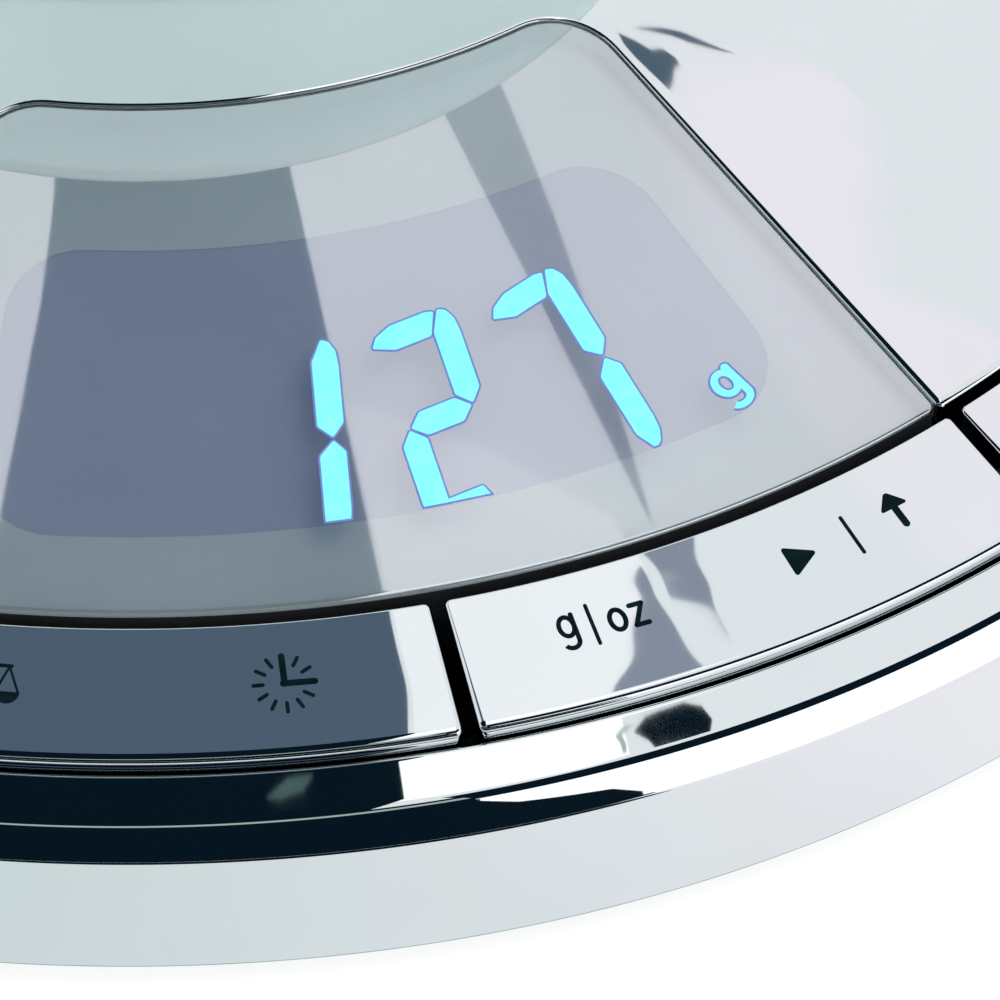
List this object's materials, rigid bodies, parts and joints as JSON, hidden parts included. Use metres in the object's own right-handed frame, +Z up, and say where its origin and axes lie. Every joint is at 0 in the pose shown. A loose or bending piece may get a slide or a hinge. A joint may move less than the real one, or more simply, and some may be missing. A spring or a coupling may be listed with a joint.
{
  "type": "kitchen scale",
  "caption": "Round electronic kitchen scale with a mirror-bright conical top, a fan-shaped lit display, rocker keys set in the rim and a raised round weighing platform.",
  "frame": {"origin": "on the table at the centre of the round base", "axes": "+Z up; -Y towards the control side with the display window and keys"},
  "size_m": [0.21, 0.21, 0.0521],
  "materials": {
    "chrome_shell": "mirror-bright chrome plating",
    "chrome_key": "mirror-bright chrome plating",
    "black_plastic": "fine matt black",
    "grey_plastic": "fine spark-eroded grey",
    "white_plastic": "white",
    "window": "clear with a mirror print behind",
    "display_film": "violet-grey tint",
    "circuit_board": "green solder resist",
    "silicone": "translucent",
    "led": "clear blue",
    "frosted_glass": "green-tinted, satin underside",
    "bonding_foam": "matt",
    "satin_metal": "satin",
    "steel": "zinc plated",
    "aluminium": "milled",
    "rubber": "matt",
    "battery": "plain wrapper",
    "component": "moulded",
    "cable": "smooth",
    "ribbon": "smooth"
  },
  "bodies": {
    "base": {"base_pan": "grey_plastic", "batteries": "battery", "battery_box": "grey_plastic", "battery_contacts": "steel", "battery_lead": "cable", "board_parts": "component", "board_screws": "steel", "case_screws": "steel", "cell_base_block": "aluminium", "cell_base_screws": "steel", "cover_screws": "steel", "display_board": "circuit_board", "display_film": "display_film", "display_frame": "black_plastic", "display_leds": "led", "display_light_box": "white_plastic", "display_ribbon": "ribbon", "key_board": "circuit_board", "key_pivot_pins": "steel", "key_ribbon": "ribbon", "key_tray": "black_plastic", "left_keypad": "silicone", "load_cell": "aluminium", "load_cell_lead": "cable", "main_board": "circuit_board", "overload_stop": "steel", "right_keypad": "silicone", "rim_ring": "chrome_shell", "ring_trim": "chrome_shell", "rubber_feet": "rubber", "speaker": "component", "speaker_lead": "cable", "strain_gauges": "silicone", "top_cover": "chrome_shell", "window_panel": "window"},
    "platform": {"weighing_glass": "frosted_glass", "glass_bonding_ring": "bonding_foam", "platform_hub": "satin_metal", "hub_screws": "steel", "carrier_plate": "steel", "cell_top_spacer": "aluminium", "cell_top_screws": "steel"},
    "left_key": {"left_key": "chrome_key"},
    "right_key": {"right_key": "chrome_key"},
    "battery_door": {"battery_door": "grey_plastic"}
  },
  "joints": [
    {"name": "platform_load", "type": "slide", "parent": "base", "child": "platform", "axis": [0, 0, -1], "range_m": [0, 0.0005], "stiffness_N_per_m": 60000, "deforming": ["load_cell"]},
    {"name": "left_key_rock", "type": "hinge", "parent": "base", "child": "left_key", "pos_m": [-0.02165, -0.09268, 0.0114], "axis": [-0.2275, -0.9738, 0], "range_deg": [-1.2, 1.2], "stiffness_Nm_per_rad": 1, "deforming": ["left_keypad"]},
    {"name": "right_key_rock", "type": "hinge", "parent": "base", "child": "right_key", "pos_m": [0.02165, -0.09268, 0.0114], "axis": [0.2275, -0.9738, 0], "range_deg": [-1.2, 1.2], "stiffness_Nm_per_rad": 1, "deforming": ["right_keypad"]},
    {"name": "battery_door_hinge", "type": "hinge", "parent": "base", "child": "battery_door", "pos_m": [0, 0.0809, 0.0022], "axis": [1, 0, 0], "range_deg": [0, 80]}
  ]
}
